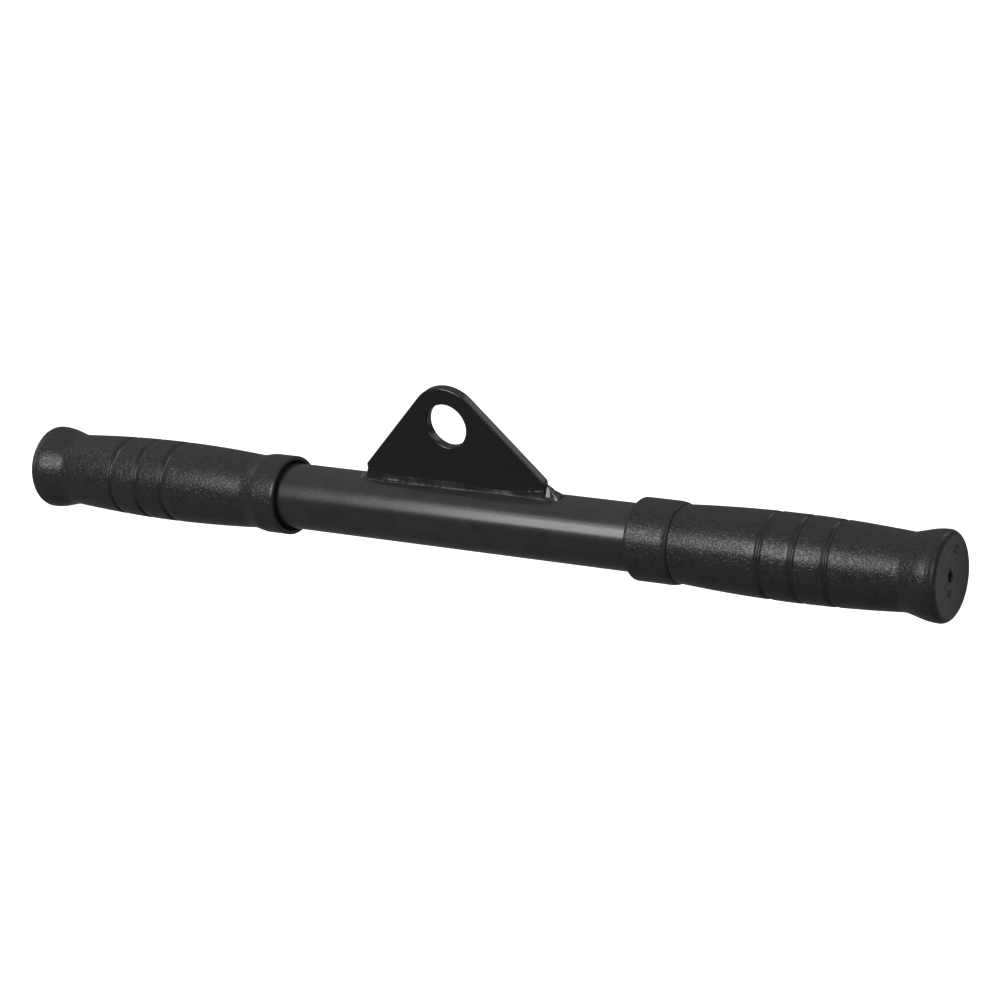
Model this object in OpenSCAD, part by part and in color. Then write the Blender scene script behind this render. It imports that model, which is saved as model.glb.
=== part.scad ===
// Straight cable attachment bar: a steel tube with a welded hanging lug at
// its middle and a moulded rubber grip pushed over each end.
//
// The origin is the centre of the lug's hole. +X runs along the bar, +Z is
// up, and the bar hangs below the hole. The bar is symmetric about both
// vertical planes through the hole.

/* [Bar] */
// Length over the closed ends of both grips
overall_len = 502; // [470:1:620]
// Outside diameter of the steel tube
tube_d = 32; // [31:0.5:33]
// Wall thickness of the steel tube
tube_wall = 2.5; // [1.5:0.5:4]

/* [Lug] */
// Diameter of the hole for the carabiner
hole_d = 21.5; // [16:0.5:24]
// Height of the hole's centre above the tube's axis
hole_height = 47.5; // [46:0.5:60]
// Radius of the rounded top, about the hole's centre
apex_r = 19.2; // [17:0.2:21]
// Width of the plate where it stands on the tube
lug_base_w = 99; // [80:1:120]
// Height of the plate's upright corners above the top of the tube
lug_corner_h = 7.5; // [6.5:0.5:9]
// Thickness of the plate
lug_thick = 5; // [4:0.5:8]

/* [Welds] */
// Height of the weld beads up the faces of the plate
weld_leg_up = 3.5; // [2.5:0.1:4]
// Width of the weld beads out from the faces of the plate
weld_leg_out = 1.6; // [1.2:0.1:4]
// Width of the end welds out from the faces of the plate
weld_end_out = 2.8; // [1.6:0.1:5]
// Reach of the end welds along the tube past the plate
weld_tail = 8.5; // [7:0.5:14]
// Height of the end welds up the ends of the plate
weld_end_up = 5.8; // [4.2:0.1:6.2]

/* [Grips] */
// Length of each grip
grip_len = 153; // [150:1:160]
// Thickness of the closed end of each grip
end_thick = 4.5; // [3:0.5:8]
// Outside diameter of the collar at the grip's mouth
collar_d = 38.8; // [38:0.2:42]
// Length of the collar
collar_len = 21.8; // [15:0.1:30]
// Radial gap between the tube and the counterbored mouth
mouth_gap = 1.3; // [0.8:0.1:1.8]
// Depth of the counterbored mouth
mouth_depth = 6; // [3:0.5:12]
// Diameter of the grip at its belly
belly_d = 40.1; // [39:0.1:43]
// Distance of the belly from the mouth
belly_at = 75; // [70:0.5:80]
// Diameter of the neck before the end lip
neck_d = 35.4; // [35.2:0.1:37]
// Distance of the neck from the mouth
neck_at = 134.4; // [131:0.1:135]
// Diameter of the end lip
lip_d = 41.4; // [41:0.1:44]
// Number of grooves round the grip
groove_count = 3; // [1:1:4]
// Distance of the middle of the grooves from the mouth
groove_at = 85; // [80:0.5:90]
// Distance from one groove to the next
groove_pitch = 16.2; // [10:0.1:18]
// Width of each groove at the surface
groove_w = 2.8; // [2:0.1:4]
// Depth of each groove
groove_depth = 1; // [0.5:0.1:1.4]
// Diameter of the vent hole in the closed end
vent_d = 4.8; // [2:0.1:6]
// How far the closed end is sunk at its centre
end_dish = 1; // [0.2:0.1:1.5]

/* [Hidden] */

$fn = 96;
overcut = 1;          // how far cutting shapes run past what they cut
tube_r = tube_d / 2;
axis_z = -hole_height;                      // the tube's axis
tube_half = overall_len / 2 - end_thick;    // the tube bottoms in the grips
lug_half_w = lug_base_w / 2;
lug_corner_z = axis_z + tube_r + lug_corner_h;
mouth_x = overall_len / 2 - grip_len;
side_left = -1;
side_right = 1;
side_front = -1;
side_rear = 1;

paint_black = [0.045, 0.045, 0.048];
paint_weld = [0.06, 0.06, 0.063];
rubber_grey = [0.085, 0.085, 0.088];

// Points on an arc of radius r about c, from angle a to angle b, in n steps
function arc(c, r, a, b, n) =
    [for (i = [0:n]) c + r * [cos(a + (b - a) * i / n), sin(a + (b - a) * i / n)]];

// Turns a shape drawn about Z so that its Z runs out along the bar
module along_bar(side) {
    translate([0, 0, axis_z]) rotate([0, side * 90, 0]) children();
}

module tube_outside() {
    translate([0, 0, axis_z]) rotate([0, 90, 0])
        cylinder(d = tube_d, h = overall_len, center = true);
}

// ---------------------------------------------------------------- the tube

module bar_tube() {
    color(paint_black)
    translate([0, 0, axis_z]) rotate([0, 90, 0])
    difference() {
        cylinder(d = tube_d, h = 2 * tube_half, center = true);
        cylinder(d = tube_d - 2 * tube_wall, h = 2 * tube_half + 2 * overcut, center = true);
    }
}

// ----------------------------------------------------------------- the lug

// The sloping sides are tangent to the rounded top
corner_dist = norm([lug_half_w, lug_corner_z]);
slope_touch = atan2(lug_corner_z, lug_half_w) + acos(apex_r / corner_dist);
touch = apex_r * [cos(slope_touch), sin(slope_touch)];

module lug_outline() {
    circle(r = apex_r);
    polygon([
        [-lug_half_w, axis_z], [lug_half_w, axis_z],
        [lug_half_w, lug_corner_z], touch,
        [-touch[0], touch[1]], [-lug_half_w, lug_corner_z]]);
}

module lug_plate() {
    color(paint_black)
    difference() {
        rotate([90, 0, 0]) linear_extrude(height = lug_thick, center = true)
            difference() {
                lug_outline();
                circle(d = hole_d);
            }
        tube_outside();
    }
}

// --------------------------------------------------------------- the welds

tube_top_z = axis_z + tube_r;
bead_out = lug_thick / 2 + weld_leg_out;
end_out = lug_thick / 2 + weld_end_out;
bead_top_z = tube_top_z + weld_leg_up;
bead_root_z = axis_z + tube_r / 2;

// Height of the tube's top at distance y from its middle plane
function tube_height(y) = axis_z + sqrt(tube_r * tube_r - y * y);

// A bead along one face of the plate
module side_weld(side) {
    color(paint_weld)
    difference() {
        rotate([90, 0, 90]) linear_extrude(height = lug_base_w, center = true)
            mirror([side < 0 ? 1 : 0, 0])
                polygon([
                    [lug_thick / 2, bead_top_z], [bead_out, tube_height(bead_out)],
                    [bead_out, bead_root_z], [lug_thick / 2, bead_root_z]]);
        tube_outside();
    }
}

// Outline of the mound round one end of the plate: a hollow curve that
// runs out level with the top of the tube
mound_top_r = lug_thick / 2 + 0.3;
mound_drop = weld_end_up + 0.4;
mound_run = weld_tail - mound_top_r;
mound_curve_r = (mound_run * mound_run + mound_drop * mound_drop) / (2 * mound_drop);
mound_foot = [weld_tail, tube_top_z + weld_end_up - mound_drop];
mound_sweep = asin(mound_run / mound_curve_r);

module mound() {
    rotate_extrude()
        polygon(concat(
            [[0, bead_root_z], [weld_tail, bead_root_z]],
            arc(mound_foot + [0, mound_curve_r], mound_curve_r, -90, -90 - mound_sweep, 8),
            [[0, tube_top_z + weld_end_up]]));
}

// The weld that wraps one end of the plate
module end_weld(side) {
    ridge_z = tube_top_z + weld_end_up + overcut;
    color(paint_weld)
    difference() {
        intersection() {
            translate([side * lug_half_w, 0, 0]) mound();
            translate([side * (lug_half_w + weld_tail / 2), 0, 0])
            rotate([90, 0, 90]) linear_extrude(height = weld_tail, center = true)
                polygon([
                    [-end_out, bead_root_z], [-end_out, tube_height(end_out)],
                    [-lug_thick / 2, bead_top_z], [-lug_thick / 2, ridge_z],
                    [lug_thick / 2, ridge_z], [lug_thick / 2, bead_top_z],
                    [end_out, tube_height(end_out)], [end_out, bead_root_z]]);
        }
        tube_outside();
    }
}

module weld_front() { side_weld(side_front); }
module weld_rear() { side_weld(side_rear); }
module weld_left_end() { end_weld(side_left); }
module weld_right_end() { end_weld(side_right); }

// --------------------------------------------------------------- the grips

mouth_edge = 0.6;     // bevel round the grip's mouth
shoulder_edge = 1;    // bevel on the outer corner of the collar
belly_r = belly_d / 2;
neck_r = neck_d / 2;
lip_r = lip_d / 2;
belly_drop = belly_r - neck_r;
belly_run = neck_at - belly_at;
belly_curve_r = (belly_run * belly_run + belly_drop * belly_drop) / (2 * belly_drop);
lip_edge_r = 3.3;     // rounding between the lip and the end face
lip_curve_r = 30;     // the flare's curve as it levels out at the lip
flare_angle = 14.5;   // slope of the flare where it leaves the neck
lip_at = grip_len - lip_edge_r;
rim_r = lip_r - lip_edge_r;
dish_flat_r = 4;      // level spot round the vent hole
dish_steps = 6;
body_steps = 24;

// Radius of the grip's body at distance t from the mouth
function body_r(t) =
    belly_r - belly_curve_r + sqrt(belly_curve_r * belly_curve_r - (t - belly_at) * (t - belly_at));

// Outside of the grip: [radius, distance from the mouth]
grip_outside = concat(
    [[collar_d / 2 - mouth_edge, 0], [collar_d / 2, mouth_edge],
     [collar_d / 2, collar_len - 2 * shoulder_edge],
     [collar_d / 2 - 0.3 * shoulder_edge, collar_len - shoulder_edge]],
    [for (i = [0:body_steps])
        let (t = collar_len + (neck_at - collar_len) * i / body_steps) [body_r(t), t]],
    arc([lip_r - lip_curve_r, lip_at], lip_curve_r, -flare_angle, 0, 5),
    arc([rim_r, lip_at], lip_edge_r, 15, 90, 5),
    [for (i = [1:dish_steps])
        let (k = 1 - i / dish_steps)
        [dish_flat_r + (rim_r - dish_flat_r) * k, grip_len - end_dish * (1 - k * k)]]);

module grip(side) {
    color(rubber_grey)
    along_bar(side) translate([0, 0, mouth_x])
    difference() {
        rotate_extrude()
            polygon(concat([[0, 0]], grip_outside, [[0, grip_len - end_dish]]));
        // push-fit bore over the tube, and the wider mouth
        translate([0, 0, -overcut])
            cylinder(r = tube_r, h = grip_len - end_thick + overcut);
        translate([0, 0, -overcut])
            cylinder(r = tube_r + mouth_gap, h = mouth_depth + overcut);
        cylinder(d = vent_d, h = grip_len + overcut);
        for (i = [0:groove_count - 1]) groove(groove_at + groove_pitch * (i - (groove_count - 1) / 2));
    }
}

// A round-bottomed groove at distance t from the mouth
groove_r = (groove_w * groove_w / 4 + groove_depth * groove_depth) / (2 * groove_depth);

module groove(t) {
    translate([0, 0, t]) rotate_extrude()
        translate([body_r(t) - groove_depth + groove_r, 0]) circle(r = groove_r, $fn = 32);
}

module grip_left() { grip(side_left); }
module grip_right() { grip(side_right); }

bar_tube();
lug_plate();
weld_front();
weld_rear();
weld_left_end();
weld_right_end();
grip_left();
grip_right();
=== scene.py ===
import math
from collections import namedtuple

import bpy
import numpy as np
from mathutils import Matrix, Vector


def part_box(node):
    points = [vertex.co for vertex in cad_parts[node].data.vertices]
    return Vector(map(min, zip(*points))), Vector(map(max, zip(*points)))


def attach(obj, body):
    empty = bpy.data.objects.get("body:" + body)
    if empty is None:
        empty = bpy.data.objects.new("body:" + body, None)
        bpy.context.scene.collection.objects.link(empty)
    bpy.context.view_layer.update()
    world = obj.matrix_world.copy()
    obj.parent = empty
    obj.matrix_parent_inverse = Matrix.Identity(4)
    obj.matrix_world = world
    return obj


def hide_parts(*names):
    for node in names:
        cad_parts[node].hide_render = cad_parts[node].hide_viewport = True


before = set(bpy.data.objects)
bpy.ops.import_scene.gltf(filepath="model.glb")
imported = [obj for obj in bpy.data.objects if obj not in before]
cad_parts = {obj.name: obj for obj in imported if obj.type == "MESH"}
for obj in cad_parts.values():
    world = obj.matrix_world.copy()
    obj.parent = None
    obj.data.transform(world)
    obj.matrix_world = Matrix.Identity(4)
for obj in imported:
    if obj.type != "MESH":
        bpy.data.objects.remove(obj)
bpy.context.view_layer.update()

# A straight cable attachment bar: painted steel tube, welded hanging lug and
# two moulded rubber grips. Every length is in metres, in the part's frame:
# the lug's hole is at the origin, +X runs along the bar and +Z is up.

MM = 0.001
TAU = 2 * math.pi
LEFT, RIGHT = -1, 1
FRONT, REAR = -1, 1

# ---------------------------- sizes from the frame, and the few it doesn't give

tube_low, tube_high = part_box("bar_tube")
_, plate_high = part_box("lug_plate")
_, bead_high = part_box("weld_rear")
_, mound_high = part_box("weld_right_end")
grip_low, grip_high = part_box("grip_right")

TUBE_R = (tube_high.z - tube_low.z) / 2
AXIS_Z = (tube_high.z + tube_low.z) / 2
TUBE_END_X = tube_high.x
TUBE_TOP_Z = AXIS_Z + TUBE_R
TUBE_WALL = 2.5 * MM

PLATE_HALF = plate_high.y
APEX_R = plate_high.z
BASE_HALF = plate_high.x
CORNER_Z = TUBE_TOP_Z + 7.5 * MM
HOLE_R = 10.75 * MM

BEAD_UP = bead_high.z - TUBE_TOP_Z
BEAD_OUT = bead_high.y - PLATE_HALF
MOUND_UP = mound_high.z - TUBE_TOP_Z
MOUND_TAIL = mound_high.x - BASE_HALF

MOUTH_X = grip_low.x
GRIP_LEN = grip_high.x - grip_low.x
LIP_R = grip_high.y


# ------------------------------------------------------------- shape helpers

def smooth_step(x):
    """0 below 0, 1 above 1, with level ends between."""
    x = np.clip(x, 0.0, 1.0)
    return x * x * (3 - 2 * x)


def bump_at(x, centre, half):
    """A raised cosine, 1 at centre and 0 from half a width away."""
    u = np.clip((x - centre) / half, -1.0, 1.0)
    return (1 + np.cos(math.pi * u)) / 2


def waves(seed, count, shortest, longest):
    """A smooth irregular function of two lengths, about -1 to 1: a sum of seeded sine waves."""
    random = np.random.RandomState(seed)
    length = random.uniform(shortest, longest, count)
    heading = random.uniform(0, TAU, count)
    phase = random.uniform(0, TAU, count)

    def height(a, b):
        total = np.zeros(np.broadcast(a, b).shape)
        for size, turn, start in zip(length, heading, phase):
            along = a * math.cos(turn) + b * math.sin(turn)
            total = total + np.sin(along * TAU / size + start)
        return total / math.sqrt(2 * count)

    return height


def around_bar(distance, radius, angle, side=RIGHT):
    """Points at a distance along the bar and a radius and angle about its axis. Angle 0 is up, and
    a quarter turn is to the rear."""
    return np.stack(np.broadcast_arrays(
        side * distance, radius * np.sin(angle), AXIS_Z + radius * np.cos(angle)), -1)


# -------------------------------------------------------------- mesh helpers

def grid_faces(rows, columns, wrap_rows, wrap_columns, flip=False):
    """Quads over a grid of points stored row by row."""
    i = np.arange(rows if wrap_rows else rows - 1)[:, None]
    j = np.arange(columns if wrap_columns else columns - 1)[None, :]
    down, across = (i + 1) % rows, (j + 1) % columns
    quads = np.stack([i * columns + j, i * columns + across,
                      down * columns + across, down * columns + j], -1).reshape(-1, 4)
    return quads[:, ::-1] if flip else quads


def make_piece(name, points, faces, material, sharp_angle=35):
    """A smooth-shaded mesh whose edges turn sharp where faces meet at more than sharp_angle."""
    mesh = bpy.data.meshes.new(name)
    mesh.from_pydata(np.asarray(points, float).reshape(-1, 3).tolist(), [], [list(f) for f in faces])
    mesh.materials.append(material)
    mesh.polygons.foreach_set("use_smooth", [True] * len(mesh.polygons))
    mesh.set_sharp_from_angle(angle=math.radians(sharp_angle))
    mesh.update()
    piece = bpy.data.objects.new(name, mesh)
    bpy.context.scene.collection.objects.link(piece)
    return piece


def point_value(piece, name, values):
    """Stores a number on each point, for the piece's material to read."""
    layer = piece.data.attributes.new(name, "FLOAT", "POINT")
    layer.data.foreach_set("value", np.asarray(values, np.float32).ravel())


def finish_piece(piece, node):
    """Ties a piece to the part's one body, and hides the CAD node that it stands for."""
    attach(piece, "root")
    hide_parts(node)


# ----------------------------------------------------------------- materials

class Nodes:
    """Builds one material's nodes, in the order that they are named."""

    def __init__(self, name):
        self.material = bpy.data.materials.new(name)
        self.material.use_nodes = True
        self.tree = self.material.node_tree
        self.shader = self.tree.nodes["Principled BSDF"]
        self.place = self.add("ShaderNodeTexCoord").outputs["Object"]

    def add(self, kind, inputs=None, **settings):
        node = self.tree.nodes.new(kind)
        for key, value in settings.items():
            setattr(node, key, value)
        for key, value in (inputs or {}).items():
            self.give(node.inputs[key], value)
        return node

    def give(self, socket, value):
        """Links a socket to another node's output, or sets its number."""
        if isinstance(value, bpy.types.NodeSocket):
            self.tree.links.new(value, socket)
        else:
            socket.default_value = value

    def stretched(self, scale):
        """Places scaled by a different amount along each axis."""
        return self.add("ShaderNodeMapping", {"Vector": self.place, "Scale": scale}).outputs["Vector"]

    def noise(self, scale, detail, place=None, distortion=0.0):
        """Noise of about scale waves to the metre."""
        return self.add("ShaderNodeTexNoise", {
            "Vector": place or self.place, "Scale": scale, "Detail": detail,
            "Distortion": distortion}).outputs["Fac"]

    def span(self, value, low, high, to_low, to_high):
        """Maps low..high on to to_low..to_high, held at both ends."""
        return self.add("ShaderNodeMapRange", {
            "Value": value, "From Min": low, "From Max": high,
            "To Min": to_low, "To Max": to_high}).outputs["Result"]

    def math(self, operation, a, b):
        return self.add("ShaderNodeMath", {0: a, 1: b}, operation=operation).outputs["Value"]

    def blend(self, share, a, b):
        """Colour a where share is 0, and colour b where it is 1."""
        node = self.add("ShaderNodeMix", {0: share, 6: a, 7: b}, data_type="RGBA")
        return node.outputs[2]

    def bump(self, height, distance, under=None):
        """Normals of a surface raised by height times distance, on top of the bump under it."""
        inputs = {"Height": height, "Distance": distance, "Strength": 1.0}
        if under is not None:
            inputs["Normal"] = under
        return self.add("ShaderNodeBump", inputs).outputs["Normal"]

    def surface(self, **sockets):
        for name, value in sockets.items():
            self.give(self.shader.inputs[name.replace("_", " ")], value)
        return self.material


def grey(value):
    return (value, value, value, 1.0)


def paint(name, tone, roughness, peel, drawn=0.0, shine=0.5, coat=0.25):
    """Black paint with patchy gloss and a slight orange peel. Faint lines along the bar are rougher
    by up to drawn."""
    n = Nodes(name)
    patches = n.noise(70, detail=3)
    fine = n.noise(1500, detail=2)
    colour = n.blend(n.span(patches, 0.35, 0.65, 0, 1), grey(tone * 0.85), grey(tone * 1.2))
    lines = n.noise(1.0, detail=3, place=n.stretched((12, 900, 900)))
    gloss = n.math("ADD", n.span(patches, 0.3, 0.7, roughness * 0.88, roughness * 1.12),
                   n.span(lines, 0.4, 0.75, 0, drawn))
    peeled = n.bump(n.noise(620, detail=1), peel)
    grained = n.bump(fine, 0.0012 * MM, under=peeled)
    return n.surface(Base_Color=colour, Roughness=gloss, Normal=grained, Specular_IOR_Level=shine,
                     Coat_Weight=coat, Coat_Roughness=0.12)


def rubber(name):
    """Moulded rubber: leather grain where the point value grain is 1, and smooth where it is 0."""
    n = Nodes(name)
    grain = n.add("ShaderNodeAttribute", attribute_name="grain").outputs["Fac"]
    place = n.stretched((1.0, 1.15, 1.15))
    worms = n.noise(470, detail=1.5, place=place, distortion=0.6)
    from_middle = n.math("ABSOLUTE", n.math("SUBTRACT", worms, 0.5), 0.0)
    valleys = n.span(from_middle, 0.0, 0.075, 0, 1)
    pebbles = n.noise(900, detail=2, place=place)
    leather = n.math("ADD", n.math("MULTIPLY", valleys, 0.55), n.math("MULTIPLY", pebbles, 0.8))
    height = n.math("MULTIPLY", leather, grain)
    patches = n.noise(45, detail=3)
    # The colour is darker where the grain's height is low: painted shade in the grain's hollows. The
    # same pattern runs on over the smooth bands, where there is no relief.
    colour = n.blend(n.span(leather, 0.3, 1.0, 0, 1), grey(0.013), grey(0.026))
    roughness = n.math("ADD", n.span(grain, 0, 1, 0.2, 0.235), n.span(patches, 0.3, 0.7, -0.02, 0.03))
    return n.surface(Base_Color=colour, Roughness=roughness,
                     Normal=n.bump(height, 0.095 * MM), Specular_IOR_Level=0.34)


# The tube, plate and welds share one black paint. Their tones differ only as painted light and shade:
# the plate's tone is darker, painted shade on its faces, and the tube's and the welds' tones are
# lighter, painted light.
TUBE_PAINT_LIT = paint("tube_paint", 0.018, 0.24, 0.006 * MM, drawn=0.035)
PLATE_PAINT_SHADED = paint("plate_paint", 0.0045, 0.24, 0.008 * MM)
END_WELD_PAINT_LIT = paint("weld_paint", 0.014, 0.25, 0.004 * MM)
SIDE_BEAD_PAINT_LIT = paint("bead_paint", 0.014, 0.3, 0.008 * MM, shine=0.27, coat=0.0)
RUBBER = rubber("grip_rubber")


# ------------------------------------------------------------------ the tube

def build_tube():
    """The tube, open right through, with its end corners broken."""
    chamfer = 0.4 * MM
    inner = TUBE_R - TUBE_WALL
    stations = np.linspace(-TUBE_END_X + chamfer, TUBE_END_X - chamfer, 60)
    outside = [(x, TUBE_R) for x in stations]
    right_end = [(TUBE_END_X, TUBE_R - chamfer), (TUBE_END_X, inner + chamfer)]
    inside = [(x, inner) for x in stations[::-1]]
    left_end = [(-TUBE_END_X, inner + chamfer), (-TUBE_END_X, TUBE_R - chamfer)]
    profile = np.array(outside + right_end + inside + left_end)
    angle = np.linspace(0, TAU, 240, endpoint=False)
    points = around_bar(profile[:, :1], profile[:, 1:], angle)
    faces = grid_faces(len(profile), len(angle), True, True, flip=True)
    piece = make_piece("painted_tube", points, faces, TUBE_PAINT_LIT)
    finish_piece(piece, "bar_tube")


# ----------------------------------------------------------------- the plate

PLATE_CORNER_R = 1.2 * MM       # rounding between an upright side and a sloping one
PLATE_EASE = 0.9 * MM           # rounding along the plate's edge
HOLE_EASE = 0.8 * MM            # rounding round the hole's rims
EASE_STEPS = 7


def arc_points(centre, radius, start, stop, count):
    angle = np.linspace(start, stop, count)
    return [(centre[0] + radius * math.cos(a), centre[1] + radius * math.sin(a)) for a in angle]


def plate_outline():
    """The plate's outline, anticlockwise from the right end of its foot, and which points are along
    the foot."""
    reach = math.hypot(BASE_HALF, CORNER_Z)
    # the sloping sides are tangent to the rounded top, and touch it at this angle
    touch = math.atan2(CORNER_Z, BASE_HALF) + math.acos(APEX_R / reach)
    top = arc_points((0, 0), APEX_R, touch, math.pi - touch, 61)
    # the corner turns through the same angle, from the upright side to the sloping one
    inset = PLATE_CORNER_R * math.tan(touch / 2)
    centre = (BASE_HALF - PLATE_CORNER_R, CORNER_Z - inset)
    corner = arc_points(centre, PLATE_CORNER_R, 0.0, touch, 7)
    start, stop = np.array(corner[-1]), np.array(top[0])
    slope = [tuple(start + (stop - start) * k) for k in np.linspace(0, 1, 26)[1:-1]]
    upright = [(BASE_HALF, z) for z in np.linspace(TUBE_TOP_Z, centre[1], 8)[:-1]]
    right = upright + corner + slope
    left = [(-x, z) for x, z in right[::-1]]
    foot = [(x, TUBE_TOP_Z) for x in np.linspace(-BASE_HALF, BASE_HALF, 60)[1:-1]]
    outline = np.array(right + top + left + foot)
    on_foot = outline[:, 1] < TUBE_TOP_Z + 1e-7
    return outline, on_foot


def outward(outline):
    """The outline's unit normals, pointing out."""
    along = np.roll(outline, -1, 0) - np.roll(outline, 1, 0)
    normal = np.stack([along[:, 1], -along[:, 0]], -1)
    return normal / np.linalg.norm(normal, axis=1)[:, None]


def half_plate(face, outline):
    """Flat rings with their distances to the rear, over one face: from the middle of the hole's wall
    to the middle of the edge."""
    normal = outward(outline)
    from_hole = outline / np.linalg.norm(outline, axis=1)[:, None]
    rings = [(from_hole * HOLE_R, 0.5 * face * PLATE_HALF)]
    for a in np.linspace(0, math.pi / 2, EASE_STEPS):
        rings.append((from_hole * (HOLE_R + HOLE_EASE * (1 - math.cos(a))),
                      face * (PLATE_HALF - HOLE_EASE * (1 - math.sin(a)))))
    near, far = from_hole * (HOLE_R + HOLE_EASE), outline - normal * PLATE_EASE
    for k in np.linspace(0, 1, 10)[1:-1]:
        rings.append((near + (far - near) * k, face * PLATE_HALF))
    for a in np.linspace(math.pi / 2, 0, EASE_STEPS):
        rings.append((outline - normal * PLATE_EASE * (1 - math.cos(a)),
                      face * (PLATE_HALF - PLATE_EASE * (1 - math.sin(a)))))
    rings.append((outline, 0.5 * face * PLATE_HALF))
    return rings


def build_plate():
    """The plate as rings of points that run through the hole, over the front face, round the edge and
    back over the rear face, with every edge eased."""
    outline, on_foot = plate_outline()
    rings = half_plate(FRONT, outline) + half_plate(REAR, outline)[::-1]
    points = np.array([np.stack([flat[:, 0], np.full(len(flat), y), flat[:, 1]], -1)
                       for flat, y in rings])
    # the foot is hollowed to sit on the tube
    sag = TUBE_R - np.sqrt(TUBE_R ** 2 - points[..., 1] ** 2)
    points[..., 2] -= np.where(on_foot, sag, 0)
    faces = grid_faces(len(points), len(outline), True, True, flip=True)
    piece = make_piece("lug_plate_painted", points, faces, PLATE_PAINT_SHADED, sharp_angle=50)
    finish_piece(piece, "lug_plate")


# ----------------------------------------------------------------- the welds

TOE_SINK = 0.06 * MM            # how far a bead's toes run into the metal beside them
ROOT_SINK = 0.6 * MM            # how far its underside does
TOE_UP = BEAD_UP * 0.95         # a side bead's height up the plate, before its toe wanders
TOE_OUT = BEAD_OUT * 1.15       # and its reach out from the plate
HOLLOW = 0.93                   # 0 for a flat face, 1 for one that runs right into the corner
SLOW_UP, QUICK_UP = 0.3 * MM, 0.2 * MM          # how far the toe on the plate wanders
SLOW_OUT, QUICK_OUT = 0.35 * MM, 0.12 * MM      # how far the toe on the tube wanders
CALM_LEN = 7 * MM               # the length at each end over which the toes stop wandering
WIDER, WIDER_LEN = 0.3 * MM, 12 * MM    # how much wider the right end is, and over what length

# where the front bead climbs further up the plate, or less far: middle, half length and height in mm
FRONT_SWELLS = [(-50, 13, 1.3), (24, 28, -1.3), (52, 13, 1.0)]
# lumps on the front bead: centre from the top of the tube, spread along each axis and height in mm
FRONT_LUMPS = [
    ((42.5, -2.9, 2.9), (4.5, 0.7, 0.6), 0.95),
    ((-35, -4.0, 0.4), (5, 0.9, 0.5), 0.3),
    ((29, -2.9, 2.0), (2.5, 0.7, 0.4), 0.12),
    ((-18, -2.7, 2.7), (5, 0.8, 0.4), 0.2)]

END_HALF = PLATE_HALF + 2.6 * MM    # half the width of an end weld
FRONT_FLANK_OUT = 0.5 * MM      # how far an end weld's flanks stand out past the plate's faces
REAR_FLANK_OUT = 2.0 * MM
FLANK_WANDER = 0.2 * MM
FLANK_SLOPE, SKIRT_SLOPE = 1.75, 0.5
RAMP_ROUGH, FLANK_ROUGH = 0.12 * MM, 0.08 * MM
RAMP_POWER = 1.35               # 1 for a straight ramp, and more for a hollow one
# hollows across the end welds: distance past the plate, half width and depth in mm, less than 0 for
# a rise
LEFT_RIPPLES = [(1.6, 0.8, 0.5)]
RIGHT_RIPPLES = [(2.2, 0.7, 1.0), (4.6, 2.8, -0.65)]


def tube_height(y):
    """Height of the tube's top at a distance y from its middle plane."""
    return AXIS_Z + np.sqrt(TUBE_R ** 2 - y ** 2)


def hollow_face(top, foot, corner, hollow, share):
    """Points down a hollow face, from its toe on the plate to its toe on the tube."""
    bend = (top + foot) / 2 + (corner - (top + foot) / 2) * hollow
    ends = top * (1 - share) ** 3 + foot * share ** 3
    return ends + bend * (3 * share * (1 - share))


def face_normals(points):
    """Unit normals of a grid of points, turned upwards."""
    down, across = np.gradient(points, axis=0), np.gradient(points, axis=1)
    normal = np.cross(down, across)
    length = np.linalg.norm(normal, axis=-1, keepdims=True)
    normal = normal / np.maximum(length, 1e-12)
    return normal * np.where(normal[..., 2:].mean() < 0, -1, 1)


def lumps_on(points, lumps):
    """Total height of the lumps at each point."""
    total = np.zeros(points.shape[:-1])
    for centre, spread, height in lumps:
        gap = (points - np.array(centre) * MM) / (np.array(spread) * MM)
        total += height * MM * np.exp(-(gap ** 2).sum(-1))
    return total


def close_bead(name, node, face, under, root, flip):
    """Closes a side bead's face with an underside and two ends."""
    points = np.concatenate([face, under[:, None], root[:, None]], 1)
    rows, columns = points.shape[:2]
    faces = [tuple(f) for f in grid_faces(rows, columns, False, True, flip=flip)]
    first = tuple(range(columns))
    last = tuple((rows - 1) * columns + i for i in range(columns))
    faces += [first, last[::-1]] if flip else [first[::-1], last]
    piece = make_piece(name, points, faces, SIDE_BEAD_PAINT_LIT, sharp_angle=70)
    finish_piece(piece, node)


def toe_reach(x, slow, quick, calm, swells):
    """How far up the plate and out along the tube a side bead's toes reach. The waves are read along
    lines well apart, so the two toes wander each in its own way."""
    up = TOE_UP + (SLOW_UP * slow(x, 0) + QUICK_UP * quick(x, 0) - QUICK_UP) * calm
    swell = sum(height * MM * bump_at(x, middle * MM, half * MM) for middle, half, height in swells)
    out = TOE_OUT + (SLOW_OUT * slow(x, 50 * MM) + QUICK_OUT * quick(x, 50 * MM)) * calm
    wider = WIDER * smooth_step((x - BASE_HALF) / WIDER_LEN + 1)
    return up + swell, out + 0.5 * np.minimum(swell, 0) + wider


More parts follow.
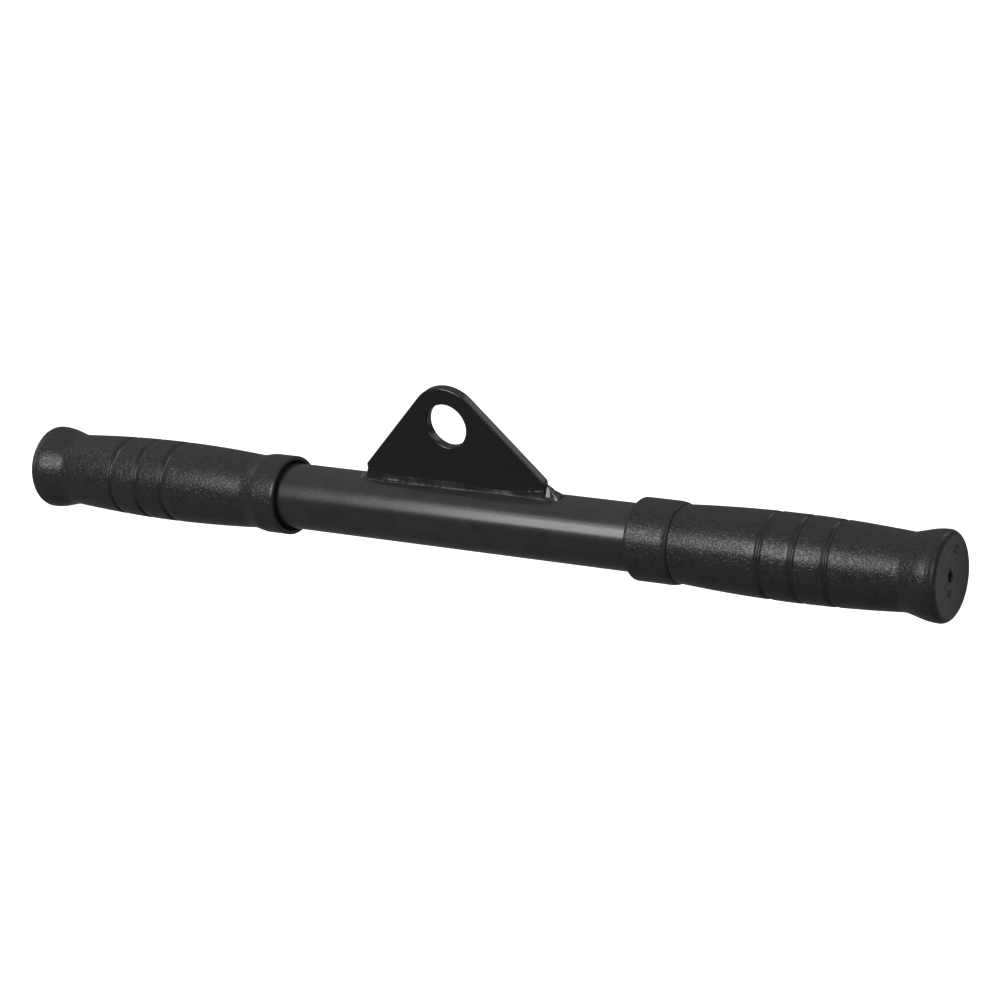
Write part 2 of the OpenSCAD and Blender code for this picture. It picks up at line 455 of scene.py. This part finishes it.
def build_side_bead(name, node, side, seed, swells=(), lumps=()):
    """The bead along one face of the plate, with toes that wander."""
    x = np.linspace(-BASE_HALF, BASE_HALF, 400)
    share = np.linspace(0, 1, 19)[None, :, None]
    slow, quick = waves(seed, 7, 16 * MM, 45 * MM), waves(seed + 1, 8, 3.5 * MM, 10 * MM)
    calm = smooth_step((BASE_HALF - np.abs(x)) / CALM_LEN)
    up, out = toe_reach(x, slow, quick, calm, swells)
    hollow = HOLLOW - (0.03 + 0.12 * slow(x, 90 * MM) + 0.03 * quick(x, 90 * MM)) * calm
    near, far = side * (PLATE_HALF - TOE_SINK), side * (PLATE_HALF + out)

    def row(y, z):
        return np.stack(np.broadcast_arrays(x, y, z), -1)

    top = row(near, TUBE_TOP_Z + up)
    foot = row(far, tube_height(far) - TOE_SINK)
    corner = row(side * (PLATE_HALF + 0.62 * out), tube_height(far) + 0.03 * up)
    face = hollow_face(top[:, None], foot[:, None], corner[:, None], hollow[:, None, None], share)
    # roughness and lumps die away at the toes
    edge = np.sin(math.pi * share[..., 0]) ** 0.4
    rough = 0.04 * MM * quick(face[..., 0] * 0.8, face[..., 2]) * calm[:, None]
    raised = lumps_on(face - np.array([0, 0, TUBE_TOP_Z]), lumps)
    face = face + face_normals(face) * ((rough + raised) * edge)[..., None]
    under = row(far, tube_height(far) - ROOT_SINK)
    root = row(side * (PLATE_HALF - ROOT_SINK), TUBE_TOP_Z - ROOT_SINK)
    close_bead(name, node, face, under, root, side > 0)


def soft_least(a, b, blend):
    """The smaller of a and b, with the corner between them rounded."""
    return (a + b - np.sqrt((a - b) ** 2 + blend ** 2)) / 2


def end_bead_height(past, across, seed, up, tail, ripples):
    """Height above the tube's top of a weld round the plate's end: a ramp with steep flanks that stand
    on a shallow skirt, crossed by ripples."""
    left = np.clip(1 - past / tail, 0, 1.1)     # share of the tail still to come
    off = np.abs(across)
    wander = waves(seed, 8, 2.5 * MM, 7 * MM)
    ramp = up * left ** RAMP_POWER + RAMP_ROUGH * wander(past, across)
    flank_out = np.where(across < 0, FRONT_FLANK_OUT, REAR_FLANK_OUT)
    flank_out = flank_out + FLANK_WANDER * wander(past, 40 * MM)
    flank = (PLATE_HALF + flank_out * left - off) * FLANK_SLOPE
    flank = flank + FLANK_ROUGH * wander(past + 9 * MM, across * 2)
    height = soft_least(ramp, flank, 0.5 * MM)
    # the ripples bow towards the tail's end at the sides, and leave the ramp's crest whole
    curved = past - 0.6 * off
    crossing = smooth_step(off / MM - 0.3)
    for at, half, depth in ripples:
        height = height - depth * MM * bump_at(curved, at * MM, half * MM) * crossing
    floor = tube_height(across) - TUBE_TOP_Z
    skirt = floor + (END_HALF * (0.35 + 0.6 * left ** 0.5) - off) * SKIRT_SLOPE
    height = -soft_least(-height, -skirt, 0.25 * MM)
    return np.maximum(height, floor - 2 * TOE_SINK)


def build_end_bead(name, node, side, seed, up, tail, ripples):
    """The weld round one end of the plate, closed by an underside and a wall round its rim."""
    past = np.linspace(-0.4 * MM, tail, 150)[:, None]
    across = np.linspace(-1, 1, 131)[None, :] * END_HALF
    height = end_bead_height(past, across, seed, up, tail, ripples)
    face = np.stack(np.broadcast_arrays(side * (BASE_HALF + past), across, TUBE_TOP_Z + height), -1)
    under = face.copy()
    under[..., 2] = tube_height(across) - ROOT_SINK
    rows, columns = height.shape
    top = grid_faces(rows, columns, False, False, flip=side > 0)
    bottom = grid_faces(rows, columns, False, False, flip=side < 0) + rows * columns
    rim = np.concatenate([np.arange(columns), columns * np.arange(1, rows) + columns - 1,
                          rows * columns - 2 - np.arange(columns - 1),
                          columns * np.arange(rows - 2, 0, -1)])
    after = np.roll(rim, -1)
    wall = np.stack([rim, rim + rows * columns, after + rows * columns, after], -1)
    faces = np.concatenate([top, bottom, wall if side < 0 else wall[:, ::-1]])
    points = np.concatenate([face.reshape(-1, 3), under.reshape(-1, 3)])
    piece = make_piece(name, points, faces, END_WELD_PAINT_LIT, sharp_angle=60)
    finish_piece(piece, node)


# ----------------------------------------------------------------- the grips

COLLAR_R, COLLAR_LEN = 19.4 * MM, 21.8 * MM
ROLL_AT = 17.0 * MM             # where the collar's shoulder starts to roll down
MOUTH_R = TUBE_R + 1.3 * MM
MOUTH_DEPTH = 6.0 * MM
BELLY_R, BELLY_AT = 20.05 * MM, 75.0 * MM
NECK_R, NECK_AT = 17.7 * MM, 134.4 * MM
LIP_CURVE_R, FLARE_LEAN = 30 * MM, math.radians(14.5)
LIP_EDGE_R = 3.3 * MM
LIP_AT = GRIP_LEN - LIP_EDGE_R
RIM_R = LIP_R - LIP_EDGE_R
DISH, DISH_FLAT_R = 1.0 * MM, 4.0 * MM
END_THICK = GRIP_LEN + MOUTH_X - TUBE_END_X
GROOVES = [(85.0 + 16.2 * place) * MM for place in (-1, 0, 1)]
GROOVE_HALF, GROOVE_DEPTH = 1.5 * MM, 1.0 * MM
BAND_SHIFT, BAND_HALF = 0.9 * MM, 3.4 * MM      # each groove's smooth band, which leans to the mouth
VENT_R = 2.4 * MM
SEAM_DEPTH, SEAM_HALF = 0.16 * MM, 0.32 * MM
UNEVEN = 0.035 * MM             # how uneven the moulded outside is
PIN_AT = (-3.0 * MM, -6.8 * MM)
PIN_R, PIN_HALF, PIN_DEPTH = 1.2 * MM, 0.55 * MM, 0.35 * MM
# shallow dimples on the closed end: distance to the rear, height, half width and depth in mm
FACE_DIMPLES = [
    (0.6, 3.4, 0.9, 0.5), (5.6, 9.6, 1.2, 0.5), (7.4, 11.2, 1.0, 0.45),
    (7.6, 8.2, 0.9, 0.4), (9.4, 9.8, 0.9, 0.4), (4.8, 12.6, 0.8, 0.35)]

# how the collar ends: the shoulder's drop, the length of the step and the depth of the crease below it
CollarEnd = namedtuple("CollarEnd", "roll_drop step_len crease_depth")
LEFT_COLLAR = CollarEnd(0.1 * MM, 10 * MM, 0.0)
RIGHT_COLLAR = CollarEnd(0.8 * MM, 0.45 * MM, 0.4 * MM)


def flare_radius(t):
    """The flare from the neck to the lip: a cone that curves level at the lip."""
    start = LIP_AT - LIP_CURVE_R * math.sin(FLARE_LEAN)
    level = LIP_R - LIP_CURVE_R + np.sqrt(np.maximum(LIP_CURVE_R ** 2 - (t - LIP_AT) ** 2, 0))
    cone = LIP_R - LIP_CURVE_R * (1 - math.cos(FLARE_LEAN)) + (t - start) * math.tan(FLARE_LEAN)
    return np.where(t < start, cone, level)


def body_radius(t, collar_end):
    """The outside of the grip at a distance t from its mouth, without grooves: the collar, the belly
    and the flare, which meets the belly in a soft neck."""
    drop, run = BELLY_R - NECK_R, NECK_AT - BELLY_AT
    curve = (run * run + drop * drop) / (2 * drop)
    belly = BELLY_R - curve + np.sqrt(curve ** 2 - (t - BELLY_AT) ** 2)
    roll = np.clip((t - ROLL_AT) / (COLLAR_LEN - ROLL_AT), 0, 1) ** 2
    rolled = COLLAR_R - collar_end.roll_drop * roll
    step = smooth_step((t - COLLAR_LEN + collar_end.step_len) / collar_end.step_len)
    crease = collar_end.crease_depth * bump_at(t, COLLAR_LEN + 0.1 * MM, 0.35 * MM)
    belly = rolled + (belly - rolled) * step - crease
    flare = flare_radius(t)
    blend = 0.35 * MM
    return (belly + flare + np.sqrt((belly - flare) ** 2 + blend ** 2)) / 2


def groove_depth(t):
    """Depth of the round-bottomed grooves, and of a faint crease beside the lip."""
    rounds = [np.clip(1 - ((t - at) / GROOVE_HALF) ** 2, 0, 1) for at in GROOVES]
    crease = 0.16 * MM * bump_at(t, LIP_AT - 0.6 * MM, 0.5 * MM)
    return sum(rounds) * GROOVE_DEPTH + crease


def station_step(t):
    """Distance from the ring at t to the next one: shorter where the outside curves."""
    if abs(t - COLLAR_LEN + 0.1 * MM) < 0.7 * MM:
        return 0.1 * MM
    beside_groove = min(abs(t - at) for at in GROOVES) < GROOVE_HALF + 0.5 * MM
    if beside_groove or t > LIP_AT - 1.2 * MM:
        return 0.17 * MM
    if abs(t - NECK_AT) < 2.5 * MM:
        return 0.35 * MM
    return 0.9 * MM


def side_rows(collar_end):
    """The outside from the mouth to the lip. The grain fades out at the mouth and by the grooves."""
    stops = [0.8 * MM]
    while stops[-1] < LIP_AT:
        stops.append(stops[-1] + station_step(stops[-1]))
    stops[-1] = LIP_AT
    t = np.array(stops)
    smooth = np.clip(1.8 * sum(bump_at(t, at - BAND_SHIFT, BAND_HALF) for at in GROOVES), 0, 1)
    fade = smooth_step((t - 0.6 * MM) / (1.2 * MM))
    return np.stack([t, body_radius(t, collar_end) - groove_depth(t), (1 - smooth) * fade], -1).tolist()


def end_rows():
    """Round the lip's edge and over the dished face to the vent."""
    rows = []
    for a in np.linspace(0, math.pi / 2, 9)[1:]:
        rows.append([LIP_AT + LIP_EDGE_R * math.sin(a), RIM_R + LIP_EDGE_R * math.cos(a), 0.8])
    for r in np.linspace(RIM_R, VENT_R + 0.35 * MM, 50)[1:]:
        sunk = DISH * (1 - max((r - DISH_FLAT_R) / (RIM_R - DISH_FLAT_R), 0) ** 2)
        rows.append([GRIP_LEN - sunk, r, 0.9])
    return rows


def inside_rows():
    """Through the vent, back along the bore, out by the wider mouth and over its rounded edge."""
    bore_end = GRIP_LEN - END_THICK
    rows = [[GRIP_LEN - DISH - depth * MM, VENT_R + wider * MM, 0.0]
            for depth, wider in ((0.12, 0.12), (0.35, 0.0), (1.2, -0.05), (2.0, -0.05))]
    rows += [[bore_end, r, 0.0] for r in (VENT_R, 6 * MM, 11 * MM, TUBE_R)]
    rows += [[t, TUBE_R, 0.0] for t in np.linspace(bore_end, MOUTH_DEPTH, 12)[1:]]
    rows += [[t, MOUTH_R, 0.0] for t in (MOUTH_DEPTH, 4.0 * MM, 2.0 * MM, 0.5 * MM)]
    rows += [[0.15 * MM, MOUTH_R + 0.1 * MM, 0.0], [0.0, MOUTH_R + 0.35 * MM, 0.0],
             [0.0, COLLAR_R - 1.0 * MM, 0.0], [0.04 * MM, COLLAR_R - 0.6 * MM, 0.0],
             [0.2 * MM, COLLAR_R - 0.25 * MM, 0.0], [0.45 * MM, COLLAR_R - 0.06 * MM, 0.1]]
    return rows


def seam_angles(seam):
    """Angles round the grip, with extra ones beside the two seams."""
    even = np.linspace(0, TAU, 200, endpoint=False)
    beside = np.array([-1.4, -1, -0.6, -0.3, 0, 0.3, 0.6, 1, 1.4]) * SEAM_HALF / BELLY_R
    extra = [(seam + turn + b) % TAU for turn in (0, math.pi) for b in beside]
    least_gap = 0.008
    clear = [a for a in even if min(abs((a - e + math.pi) % TAU - math.pi) for e in extra) > least_gap]
    return np.sort(np.array(clear + extra))


def seam_depth(angle, seam):
    """Depth of the two parting lines, which are half a turn apart."""
    off_seam = np.minimum(np.abs((angle - seam + math.pi) % TAU - math.pi),
                          np.abs((angle - seam) % TAU - math.pi)) * BELLY_R
    return SEAM_DEPTH * bump_at(off_seam, 0, SEAM_HALF)


def face_marks(across, up):
    """Depth of the moulding marks on the closed end: a pin ring, a nick by the vent and dimples."""
    from_pin = np.hypot(across - PIN_AT[0], up - PIN_AT[1])
    depth = PIN_DEPTH * bump_at(from_pin, PIN_R, PIN_HALF)
    for at_across, at_up, half, deep in FACE_DIMPLES:
        from_dimple = np.hypot(across - at_across * MM, up - at_up * MM)
        depth = depth + deep * MM * bump_at(from_dimple, 0, half * MM)
    return depth


def build_grip(name, node, side, seam, seed, collar_end):
    """One moulded grip: closed end with its vent, grooves, lip, collar and counterbored mouth."""
    # a closed loop of [distance from the mouth, radius, share of grain]
    profile = np.array(side_rows(collar_end) + end_rows() + inside_rows())
    angle = seam_angles(seam)
    t, r, grain = profile[:, :1], profile[:, 1:2], profile[:, 2:]
    outside = (grain > 0.02) & (r > 6 * MM)
    uneven = UNEVEN * waves(seed, 9, 18 * MM, 60 * MM)(t, angle * BELLY_R)
    seam_line = seam_depth(angle, seam) * (t < LIP_AT) * (grain > 0.5)
    in_vent = (r < VENT_R + 0.2 * MM) & (t > GRIP_LEN - 4 * MM)
    ragged = 0.14 * np.cos(2 * angle + 0.5) + 0.07 * np.cos(3 * angle)
    radius = (r + np.where(outside, uneven, 0) - seam_line) * (1 + np.where(in_vent, ragged, 0))
    on_face = (t > GRIP_LEN - DISH - 0.01 * MM) & (r < RIM_R + 0.01 * MM)
    sunk = np.where(on_face, face_marks(radius * np.sin(angle), radius * np.cos(angle)), 0)
    points = around_bar(MOUTH_X + t - sunk, radius, angle, side)
    faces = grid_faces(len(profile), len(angle), True, True, flip=side > 0)
    piece = make_piece(name, points, faces, RUBBER, sharp_angle=50)
    point_value(piece, "grain", np.broadcast_to(grain, radius.shape))
    finish_piece(piece, node)


# --------------------------------------------------------------------- stage

def glow(name, colour, strength):
    """A stage surface that shines evenly."""
    material = bpy.data.materials.new(name)
    material.use_nodes = True
    shader = material.node_tree.nodes["Principled BSDF"]
    shader.inputs["Base Color"].default_value = colour
    shader.inputs["Roughness"].default_value = 0.9
    shader.inputs["Specular IOR Level"].default_value = 0.0
    shader.inputs["Emission Color"].default_value = colour
    shader.inputs["Emission Strength"].default_value = strength
    return material


def build_stage():
    """A pale floor well below the hanging bar, and a pale surround out of sight behind it. Only the
    camera sees them, so they light nothing."""
    white = glow("pale_floor", grey(1.0), 1.05)
    floor_z, floor_half = -1.3, 9.0
    corners = [(-1, -1), (1, -1), (1, 1), (-1, 1)]
    floor = make_piece("floor", [(x * floor_half, y * floor_half, floor_z) for x, y in corners],
                       [(0, 1, 2, 3)], white)
    bpy.ops.mesh.primitive_uv_sphere_add(radius=8.5, segments=48, ring_count=24)
    dome = bpy.context.object
    dome.name = "surround"
    dome.data.materials.append(white)
    for thing in (floor, dome):
        thing.visible_glossy = False
        thing.visible_diffuse = False
        thing.visible_shadow = False
        thing.visible_transmission = False


def soft_light(name, place, width, height, radiance):
    """A softbox that faces the middle of the bar squarely, with its width level."""
    lamp = bpy.data.lights.new(name, "AREA")
    lamp.shape = "RECTANGLE"
    lamp.size, lamp.size_y = width, height
    lamp.energy = radiance * math.pi * width * height
    thing = bpy.data.objects.new(name, lamp)
    thing.location = place
    away = Vector(place) - Vector((0, 0, AXIS_Z))
    thing.rotation_mode = "QUATERNION"
    thing.rotation_quaternion = away.to_track_quat("Z", "Y")
    bpy.context.scene.collection.objects.link(thing)
    return thing


def strip_light(name, place, width, height, radiance):
    """A softbox whose width runs along the bar, tilted to face the bar's line."""
    thing = soft_light(name, place, width, height, radiance)
    away = Vector((0, place[1], place[2] - AXIS_Z))
    thing.rotation_quaternion = away.to_track_quat("Z", "Y")
    return thing


def build_world():
    """Soft light from all round, brightest overhead, and dimmest straight down and level."""
    world = bpy.data.worlds.new("studio")
    bpy.context.scene.world = world
    world.use_nodes = True
    tree = world.node_tree
    place = tree.nodes.new("ShaderNodeTexCoord").outputs["Generated"]
    split = tree.nodes.new("ShaderNodeSeparateXYZ")
    tree.links.new(place, split.inputs[0])
    height = tree.nodes.new("ShaderNodeMapRange")
    height.inputs["From Min"].default_value = -1
    tree.links.new(split.outputs["Z"], height.inputs["Value"])
    ramp = tree.nodes.new("ShaderNodeValToRGB")
    # brightness from straight down, at 0, to straight up, at 1
    stops = [(0.0, 0.13), (0.3, 0.2), (0.5, 0.13), (0.72, 0.25), (1.0, 0.55)]
    while len(ramp.color_ramp.elements) < len(stops):
        ramp.color_ramp.elements.new(0.5)
    for element, (at, value) in zip(ramp.color_ramp.elements, stops):
        element.position = at
        element.color = grey(value)
    tree.links.new(height.outputs["Result"], ramp.inputs["Fac"])
    tree.links.new(ramp.outputs["Color"], tree.nodes["Background"].inputs["Color"])


def build_lights():
    """The softboxes: place, width, height and radiance."""
    strip_light("key", (-0.565, -1.28, 0.84), 0.84, 0.72, 7.3)
    soft_light("side", (-1.5, 0.2, 0.3), 0.7, 0.7, 1.9)
    strip_light("key_top", (-0.6, -0.95, 1.20), 0.85, 0.36, 2.4)
    soft_light("fill", (1.5, -0.8, 0.7), 1.1, 0.9, 2.4)
    soft_light("low_back", (1.1, 1.2, -0.75), 1.1, 0.9, 0.14)
    soft_light("back", (0.9, 1.5, 0.95), 1.0, 0.9, 0.9)


def build_camera():
    """A long lens from the front right, a little above the bar, and rolled as the bar is shown."""
    roll = math.radians(-8.583)
    away = Vector((0.75988, -1.06457, 0.57365))     # from the middle of the bar
    look = Vector((-0.52219, 0.75401, -0.39849))    # a little off the middle of the bar
    camera = bpy.data.objects.new("camera", bpy.data.cameras.new("camera"))
    camera.data.lens = 108.395
    camera.data.sensor_width = 36
    camera.location = Vector((0, 0, AXIS_Z)) + away
    camera.rotation_mode = "QUATERNION"
    aim = look.to_track_quat("-Z", "Y")
    camera.rotation_quaternion = aim @ Matrix.Rotation(roll, 3, "Z").to_quaternion()
    bpy.context.scene.collection.objects.link(camera)
    bpy.context.scene.camera = camera


build_camera()
build_tube()
build_plate()
build_side_bead("weld_front_bead", "weld_front", FRONT, 11, FRONT_SWELLS, FRONT_LUMPS)
build_side_bead("weld_rear_bead", "weld_rear", REAR, 23)
build_end_bead("weld_left_bead", "weld_left_end", LEFT, 31,
               MOUND_UP * 0.7, MOUND_TAIL * 0.6, LEFT_RIPPLES)
build_end_bead("weld_right_bead", "weld_right_end", RIGHT, 47,
               MOUND_UP * 1.1, MOUND_TAIL * 0.98, RIGHT_RIPPLES)
build_grip("moulded_grip_left", "grip_left", LEFT, math.radians(2), 5, LEFT_COLLAR)
build_grip("moulded_grip_right", "grip_right", RIGHT, math.radians(27), 6, RIGHT_COLLAR)
build_stage()
build_world()
build_lights()
bpy.context.scene.view_settings.view_transform = "Standard"
